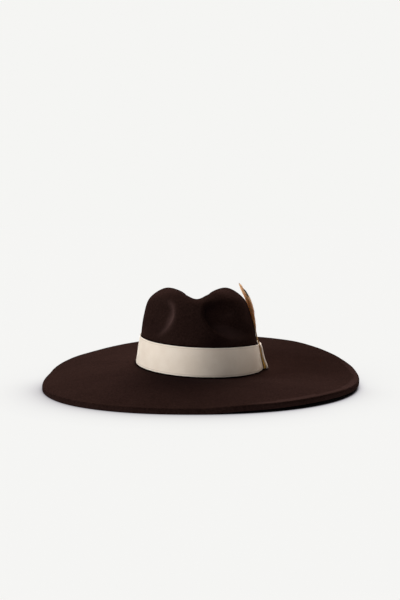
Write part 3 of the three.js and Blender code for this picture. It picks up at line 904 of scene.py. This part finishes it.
# The ribbon's free end as a path round the crown: in under the fold, round it and back over the outside
tab_span = math.radians(OVERLAP_SPAN) * OVERLAP_RADIUS
back_run = np.linspace(0, 1, 74) ** 1.25 * (tab_span - FOLD) + FOLD
hem_run = np.linspace(0.26, 0, 16) * tab_span + FOLD
bend = np.linspace(0, math.pi, 12)[1:-1]
path_u = np.concatenate([hem_run, FOLD - FOLD * np.sin(bend), back_run])
path_side = np.concatenate([0 * hem_run, (1 - np.cos(bend)) / 2, 0 * back_run + 1])
path_steps = np.hypot(np.diff(path_u), np.diff(path_side) * 2 * FOLD)
path_run = np.concatenate([[0], np.cumsum(path_steps)])
path_count = len(path_u)
slope_u = np.gradient(path_u)
share_back = np.clip(path_u / tab_span, 0, 1)
opened = 1 - smooth((share_back - 0.2) / 0.35)
tab_low = RIBBON_SEAT + GAP - (OVERLAP_SAG - 0.8) * opened
tab_high = float(ribbon_top(90.0)) - 0.2 - 0.6 * opened

# Each row stands off the crown by the quill's width in front and lies on the ring further back
tab_grid = []
tab_uvs = []
for v in np.linspace(0, 1, TAB_STEPS):
    distance = RIBBON_SEAT + RIBBON_WIDTH * v
    over_quill = quill("lift", distance) + 0.92 * quill("radius", distance)
    rest = OVER_RING + SHEET / 2 + (over_quill - OVER_RING) * opened
    folded = path_side * (2 * FOLD) * smooth((0.55 - share_back) / 0.3)
    pout = 0.3 * math.sin(math.pi * v) * opened
    wave = 0.12 * np.sin(path_u / 5.0 + 1.5 * v) * smooth((share_back - 0.3) / 0.2)
    middle = rest + folded + pout + wave
    slope_m = np.gradient(middle)
    size = np.hypot(slope_u, slope_m)
    for side in (1, -1):
        u = path_u - side * slope_m / size * SHEET / 2
        m = middle + side * slope_u / size * SHEET / 2
        turn_u = OVERLAP_START + np.degrees(u / OVERLAP_RADIUS)
        tab_distance = tab_low + (tab_high - tab_low) * v
        here, way, across, normal = crown_normals(turn_u, tab_distance[None], TAB_WALL_STEPS)
        tab_grid.append(here[0] + normal[0] * m[:, None])
        tab_uvs += [(run * MM, v * RIBBON_WIDTH * MM) for run in path_run]
tab_faces = []


def add_tab_face(face, flip):
    tab_faces.append(tuple(reversed(face)) if flip else face)


for r in range(TAB_STEPS - 1):
    for side in (0, 1):
        for k in range(path_count - 1):
            p = (2 * r + side) * path_count + k
            q = p + 2 * path_count
            add_tab_face((p, p + 1, q + 1, q), side == 1)
    for k, flip in ((0, True), (path_count - 1, False)):
        p = 2 * r * path_count + k
        q = p + 2 * path_count
        add_tab_face((p, p + path_count, q + path_count, q), flip)
for r, flip in ((0, False), (TAB_STEPS - 1, True)):
    for k in range(path_count - 1):
        p = 2 * r * path_count + k
        add_tab_face((p, p + path_count, p + path_count + 1, p + 1), flip)
tab = make_mesh("ribbon_free_end", np.array(tab_grid).reshape(-1, 3), tab_faces, tab_uvs)
tab.data.materials.append(ribbon_material("ribbed_ribbon_end", RIBBON_WIDTH * MM))
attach(tab, "root")
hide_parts("band_overlap")


def feather_at(name, along):
    return through(FEATHER["along"], FEATHER[name], along)


# The shaft lies along the crown at first, as the solid's does
def shaft_on_crown(along):
    distance = QUILL_SEAT + RIBBON_SEAT + FEATHER_LENGTH * along
    turn = FEATHER_TURN + FEATHER_LAG * along / FEATHER_LEAVE
    here, way, across, normal = crown_normals([turn], [distance])
    centre = here[0, 0] + normal[0, 0] * quill("lift", distance)
    return centre, way[0, 0], across[0, 0], normal[0, 0]


LEAVE = shaft_on_crown(FEATHER_LEAVE)


# Past the place where it leaves the crown it bends and swings freely
def shaft_free(along):
    steps = 12
    piece = (along - FEATHER_LEAVE) / steps
    centre = LEAVE[0].copy()
    for i in range(steps + 1):
        at = FEATHER_LEAVE + piece * (i + 0.5) if i < steps else along
        lean = math.radians(float(feather_at("bend", at)))
        swing = math.radians(float(feather_at("swing", at)))
        way = (
            LEAVE[1] * math.cos(lean) * math.cos(swing)
            - LEAVE[3] * math.sin(lean) * math.cos(swing)
            + LEAVE[2] * math.sin(swing)
        )
        if i < steps:
            centre = centre + way * piece * FEATHER_LENGTH
    normal = unit(np.cross(LEAVE[2], way))
    across = unit(np.cross(way, normal))
    return centre, way, across, normal


# The halves of the vane are turned out of the shaft's plane by the flare
def shaft(along, half):
    frame_at = shaft_on_crown(along) if along < FEATHER_LEAVE else shaft_free(along)
    centre, way, across, normal = frame_at
    flare = math.radians(float(np.interp(along, FLARE["along"], FLARE[half])))
    wide = across * math.cos(flare) - normal * math.sin(flare)
    thick = unit(np.cross(wide, way))
    return centre, way, wide, thick


def shaft_tables(half):
    frames = [shaft(float(along), half) for along in shaft_alongs]
    return [np.array([frame_at[i] for frame_at in frames]) for i in range(4)]


shaft_alongs = np.linspace(SHAFT_START, 1, SHAFT_STEPS)
shaft_centres, shaft_ways, front_wides, front_thicks = shaft_tables("front")
back_wides, back_thicks = shaft_tables("back")[2:]


def sample(table, along):
    return np.array([np.interp(along, shaft_alongs, table[:, axis]) for axis in range(3)])


# The shaft's centre, the way out along one half of the vane and the way up from that half
def vane_at(side, along):
    wides = front_wides if side < 0 else back_wides
    thicks = front_thicks if side < 0 else back_thicks
    return sample(shaft_centres, along), sample(wides, along), sample(thicks, along)


shaft_vertices = []
for k, along in enumerate(shaft_alongs):
    radius = quill("radius", QUILL_SEAT + RIBBON_SEAT + FEATHER_LENGTH * along)
    to_end = min((along - SHAFT_START) / SHAFT_ROUND, 1)
    radius *= math.sqrt(max(1 - (1 - to_end) ** 2, 0.0)) * 0.98 + 0.02
    for j in range(SIDES):
        t = 2 * math.pi * j / SIDES
        flat = 0.82 + 0.1 * math.cos(2 * t)
        wide = front_wides[k] * radius * math.cos(t)
        shaft_vertices.append(shaft_centres[k] + wide + front_thicks[k] * radius * math.sin(t) * flat)
shaft_faces = []
for k in range(SHAFT_STEPS - 1):
    for j in range(SIDES):
        n = (j + 1) % SIDES
        p = k * SIDES
        shaft_faces.append((p + j, p + n, p + SIDES + n, p + SIDES + j))
shaft_faces.append(tuple(reversed(range(SIDES))))
shaft_faces.append(tuple((SHAFT_STEPS - 1) * SIDES + j for j in range(SIDES)))
shaft_piece = make_mesh("feather_shaft", np.array(shaft_vertices), shaft_faces)
shaft_piece.data.materials.append(quill_material())
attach(shaft_piece, "root")
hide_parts("feather")

# A thin web closes the vane between its barbs
web_vertices = []
web_uvs = []
for k in range(WEB_ROWS):
    along = WEB_START + WEB_SPAN * k / (WEB_ROWS - 1)
    for j in range(-WEB_COLUMNS, WEB_COLUMNS + 1):
        name = "front" if j < 0 else "back"
        centre, wide, thick = vane_at(j, along)
        reach = max(float(feather_at(name, along)), 0.0) * FEATHER_WIDTH * WEB_REACH
        t = j / WEB_COLUMNS
        sunk = 0.12 + 0.25 * t * t - 0.3 * abs(t) * (1 - abs(t))
        web_vertices.append(centre + wide * reach * t - thick * sunk)
        web_uvs.append((2 * t * reach / FEATHER_WIDTH, along))
web_faces = []
for k in range(WEB_ROWS - 1):
    for j in range(2 * WEB_COLUMNS):
        p = k * (2 * WEB_COLUMNS + 1) + j
        q = p + 2 * WEB_COLUMNS + 1
        web_faces.append((p, p + 1, q + 1, q))

# The barbs: narrow curved blades from the shaft to the feather's outline, lying over each other
random = np.random.default_rng(11)
barb_vertices = []
barb_uvs = []
barb_faces = []


def add_barb(side, root, reach, tip_along, droop, curl, width, lean):
    start = len(barb_vertices)
    for i in range(BARB_STEPS + 1):
        t = i / BARB_STEPS
        along = root + (tip_along - root) * (0.35 * t + 0.65 * t * t)
        out = reach * (1 - (1 - t) ** 1.25)
        centre, wide, thick = vane_at(side, along)
        way = unit(sample(shaft_ways, along))
        base = centre + side * wide * out + thick * (lean + droop * t * t + curl * math.sin(math.pi * t))
        half = width * (0.95 - 0.55 * t**2.6) / 2
        for edge in (-1, 1):
            barb_vertices.append(base + way * half * edge + thick * 0.05 * edge)
            barb_uvs.append((side * out / FEATHER_WIDTH * 2, along))
    for i in range(BARB_STEPS):
        p = start + 2 * i
        face = (p, p + 1, p + 3, p + 2)
        barb_faces.append(face if side > 0 else tuple(reversed(face)))


# The barbs part at two splits on each side
for side, name in ((-1, "front"), (1, "back")):
    splits = SPLITS[name]
    for k in range(BARBS):
        share_along = k / (BARBS - 1)
        root = BARB_START + BARB_SPAN * share_along
        lag = 0.035 + 0.075 * math.sin(math.pi * min(share_along * 1.1, 1)) ** 0.8
        tip_along = min(root + lag, 1.0)
        reach = float(feather_at(name, tip_along)) * FEATHER_WIDTH
        if share_along < 0.12:
            reach = max(reach, SHORTEST_FOOT_BARB)
        if reach < SHORTEST_BARB:
            continue
        reach *= 1 + float(random.normal(0, 0.018))
        notch = min(abs(tip_along - split) for split in splits)
        pull = SPLIT_WIDTH * math.exp(-((notch / SPLIT_WIDTH) ** 2))
        tip_along += pull if tip_along > splits[0] else -pull
        droop = float(random.normal(0, 0.22)) - 0.25
        add_barb(side, root, reach, tip_along, droop, BARB_CURL, BARB_WIDTH, 0.02)

# Loose down at the vane's foot
for k in range(DOWN_TUFTS):
    side = -1 if k % 2 else 1
    root = WEB_START + 0.06 * float(random.random())
    reach = 1.4 + 2.6 * float(random.random())
    tip_along = root + 0.02 + 0.07 * float(random.random())
    droop = float(random.normal(0.3, 0.5))
    tip_along = min(tip_along, 0.6)
    add_barb(side, root, reach, tip_along, max(droop, -0.2), DOWN_CURL, DOWN_WIDTH, 0.05)

first = len(barb_vertices)
barb_vertices += web_vertices
barb_uvs += web_uvs
barb_faces += [tuple(first + i for i in face) for face in web_faces]
barbs = make_mesh("feather_vane", np.array(barb_vertices), barb_faces, barb_uvs)
barbs.data.materials.append(barb_material())
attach(barbs, "root")
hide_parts("feather")

# The floor in rings that follow the rim, with a painted shadow that darkens it close to the brim where the
# brim lies on it
floor_turns = np.arange(FLOOR_COLUMNS) * 360.0 / FLOOR_COLUMNS
floor_reach = rim_reach(floor_turns)
grounded = 1 - smooth(rim_lift(floor_turns) / 9.0)
grounded = grounded * smooth((np.cos(np.radians(floor_turns)) + 0.25) / 0.8)
floor_points = [np.array([0.0, 0.0, 0.0])]
floor_light = [0.5]
for step in FLOOR_RINGS:
    floor_points += list(place(floor_turns, np.maximum(floor_reach + step, SMALLEST_RING), 0.0))
    light_here = np.interp(max(step, 0), CONTACT["beside"], CONTACT["light"])
    floor_light += list(1 - (1 - light_here) * (0.12 + 0.88 * grounded))
floor_faces = strip_faces(len(FLOOR_RINGS), FLOOR_COLUMNS, 1)
floor_faces += [(1 + c, 1 + (c + 1) % FLOOR_COLUMNS, 0) for c in range(FLOOR_COLUMNS)]
floor = make_mesh("floor", np.array(floor_points), floor_faces)
paint(floor, "contact", floor_light)
floor.location.z = -FLOOR_SINK * MM

# The floor shines evenly, with painted shade from occlusion and the painted contact shadow where the hat is
# near, and is clear from below and to shadow rays
floor_look, floor_tree, floor_shader = new_material("pale_floor")
set_inputs(floor_shader, {
    "Base Color": (0.03, 0.03, 0.03, 1),
    "Roughness": 0.9,
    "Specular IOR Level": 0.0,
    "Emission Strength": 1.0,
})
shade = add(floor_tree, "ShaderNodeAmbientOcclusion", Distance=0.25, samples=16)
tinted = ramp(floor_tree, shade.outputs["AO"], [
    (0.0, BLACK),
    (0.34, (0.002, 0.002, 0.0025)),
    (0.48, (0.42, 0.41, 0.43)),
    (0.62, (0.72, 0.715, 0.73)),
    (0.82, (0.855, 0.856, 0.85)),
    (1.0, (0.872, 0.874, 0.862)),
])
cooled = ramp(floor_tree, painted(floor_tree, "contact"), [
    (0.0, BLACK),
    (0.54, (0.54, 0.527, 0.552)),
    (0.8, (0.8, 0.79, 0.808)),
    (1.0, WHITE),
])
grounding = blend(floor_tree, 1.0, tinted, cooled, "MULTIPLY")
floor_tree.links.new(grounding, floor_shader.inputs["Emission Color"])
back_side = floor_tree.nodes.new("ShaderNodeNewGeometry").outputs["Backfacing"]
shadow_ray = floor_tree.nodes.new("ShaderNodeLightPath").outputs["Is Shadow Ray"]
clear = floor_tree.nodes.new("ShaderNodeBsdfTransparent")
unseen = maths(floor_tree, "MAXIMUM", back_side, shadow_ray)
mix_shaders(floor_tree, unseen, floor_shader, clear, "Material Output")
floor.data.materials.append(floor_look)
floor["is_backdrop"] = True

# A pale backdrop that gives almost no light
world = bpy.data.worlds.new("studio")
bpy.context.scene.world = world
world.use_nodes = True
sky = world.node_tree
background = sky.nodes["Background"]
set_inputs(background, {"Color": (1.0, 1.0, 1.0, 1), "Strength": 0.01})
seen = add(sky, "ShaderNodeBackground", Color=(0.9131, 0.9131, 0.8963, 1))
camera_ray = sky.nodes.new("ShaderNodeLightPath").outputs["Is Camera Ray"]
mix_shaders(sky, camera_ray, background, seen, "World Output")


def sun(name, azimuth, elevation, strength, angle, colour):
    data = bpy.data.lights.new(name, "SUN")
    data.energy = strength
    data.angle = math.radians(angle)
    data.color = colour
    lamp = bpy.data.objects.new(name, data)
    bpy.context.scene.collection.objects.link(lamp)
    a = math.radians(azimuth)
    e = math.radians(elevation)
    source = Vector((math.sin(a) * math.cos(e), -math.cos(a) * math.cos(e), math.sin(e)))
    lamp.rotation_euler = source.to_track_quat("Z", "Y").to_euler()


for lamp_values in SUNS:
    sun(*lamp_values)

camera_data = bpy.data.cameras.new("camera")
camera_data.sensor_width = SENSOR
camera_data.lens = FOCAL_PIXELS * SENSOR / PICTURE_HEIGHT
camera_data.clip_end = 200.0
camera = bpy.data.objects.new("camera", camera_data)
bpy.context.scene.collection.objects.link(camera)
camera.location = (
    EYE_DISTANCE * math.sin(AZIMUTH) + FOOTPRINT_SHIFT * MM,
    -EYE_DISTANCE * math.cos(AZIMUTH),
    EYE_HEIGHT,
)
camera.rotation_euler = (math.pi / 2 - PITCH, 0, AZIMUTH)
bpy.context.scene.camera = camera
bpy.context.scene.view_settings.view_transform = "Standard"
bpy.context.scene.view_settings.look = "None"

new_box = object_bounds()


def plain(value):
    return [plain(v) for v in value] if hasattr(value, "__len__") else float(value)


{"cad": plain(cad_box), "visual": plain(new_box)}
